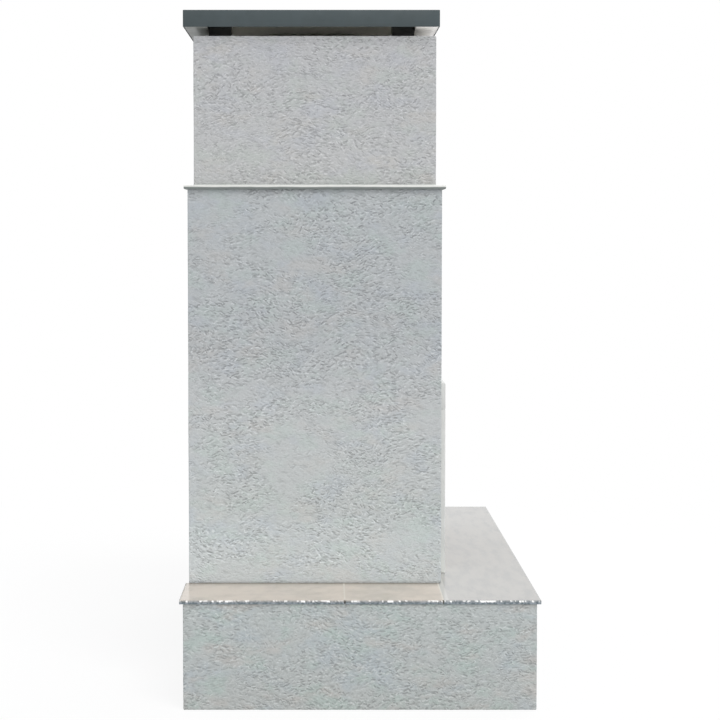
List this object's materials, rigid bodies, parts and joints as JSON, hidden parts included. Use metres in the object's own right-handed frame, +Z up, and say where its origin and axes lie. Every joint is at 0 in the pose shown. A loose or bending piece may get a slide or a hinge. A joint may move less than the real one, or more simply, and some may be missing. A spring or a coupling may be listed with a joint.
{
  "type": "outdoor fireplace",
  "caption": "Outdoor wood-burning fireplace: rendered plinth, stone hearth, lined firebox with throat damper, flue column and flat metal cap raised on legs.",
  "frame": {"origin": "on the ground, under the centre of the whole object's box", "axes": "+Z up; the fire opening faces -Y; +X is to the right of someone who faces the fire"},
  "size_m": [1.998, 1.246, 2.433],
  "materials": {
    "render": "trowelled stucco",
    "concrete": "cast concrete",
    "blockwork": "concrete block",
    "mortar": "light grout",
    "slab_stone": "polished",
    "firebrick": "sooted firebrick",
    "refractory": "cast refractory",
    "clay": "fired clay",
    "cast_iron": "cast",
    "steel": "mill finish",
    "cap_metal": "satin anthracite",
    "soffit": "matt board",
    "black_steel": "matt black"
  },
  "bodies": {
    "masonry": {"plinth_wall_front": "blockwork", "plinth_wall_rear": "blockwork", "plinth_wall_left": "blockwork", "plinth_wall_right": "blockwork", "plinth_deck": "concrete", "plinth_render": "render", "hearth_mortar_bed": "mortar", "hearth_slab_left_rear": "slab_stone", "hearth_slab_left_front": "slab_stone", "hearth_slab_right_rear": "slab_stone", "hearth_slab_right_front": "slab_stone", "hearth_slab_front_left": "slab_stone", "hearth_slab_front_right": "slab_stone", "firebox_floor": "firebrick", "firebox_side_left": "firebrick", "firebox_side_right": "firebrick", "firebox_back": "firebrick", "body_wall_rear": "blockwork", "body_wall_left": "blockwork", "body_wall_right": "blockwork", "body_pier_left": "blockwork", "body_pier_right": "blockwork", "body_wall_over_opening": "blockwork", "opening_lintel": "steel", "body_top_slab": "concrete", "body_render": "render", "surround_left": "slab_stone", "surround_right": "slab_stone", "surround_header": "slab_stone", "throat_frame": "refractory", "smoke_shelf": "refractory", "smoke_hood_front": "refractory", "smoke_hood_rear": "refractory", "smoke_hood_left": "refractory", "smoke_hood_right": "refractory", "flue_liner": "clay", "ledge_front": "slab_stone", "ledge_rear": "slab_stone", "ledge_left": "slab_stone", "ledge_right": "slab_stone", "column_wall_front": "blockwork", "column_wall_rear": "blockwork", "column_wall_left": "blockwork", "column_wall_right": "blockwork", "column_render": "render", "crown_slab": "concrete", "cap_cover": "cap_metal", "cap_deck": "concrete", "cap_rail_front": "soffit", "cap_rail_rear": "soffit", "cap_leg_front_left": "black_steel", "cap_leg_front_right": "black_steel", "cap_leg_rear_left": "black_steel", "cap_leg_rear_right": "black_steel", "spark_arrestor": "black_steel"},
    "damper": {"damper_plate": "cast_iron", "damper_spindle": "steel", "damper_lever": "steel"},
    "grate": {"log_grate": "cast_iron"},
    "pan": {"ash_pan": "steel"}
  },
  "joints": [
    {"name": "damper_turn", "type": "hinge", "parent": "masonry", "child": "damper", "pos_m": [0, -0.081, 1.124], "axis": [1, 0, 0], "range_deg": [0, 75]},
    {"name": "grate_slide", "type": "slide", "parent": "masonry", "child": "grate", "axis": [0, -1, 0], "range_m": [0, 0.4]},
    {"name": "ash_pan_slide", "type": "slide", "parent": "masonry", "child": "pan", "axis": [0, -1, 0], "range_m": [0, 0.42]}
  ]
}
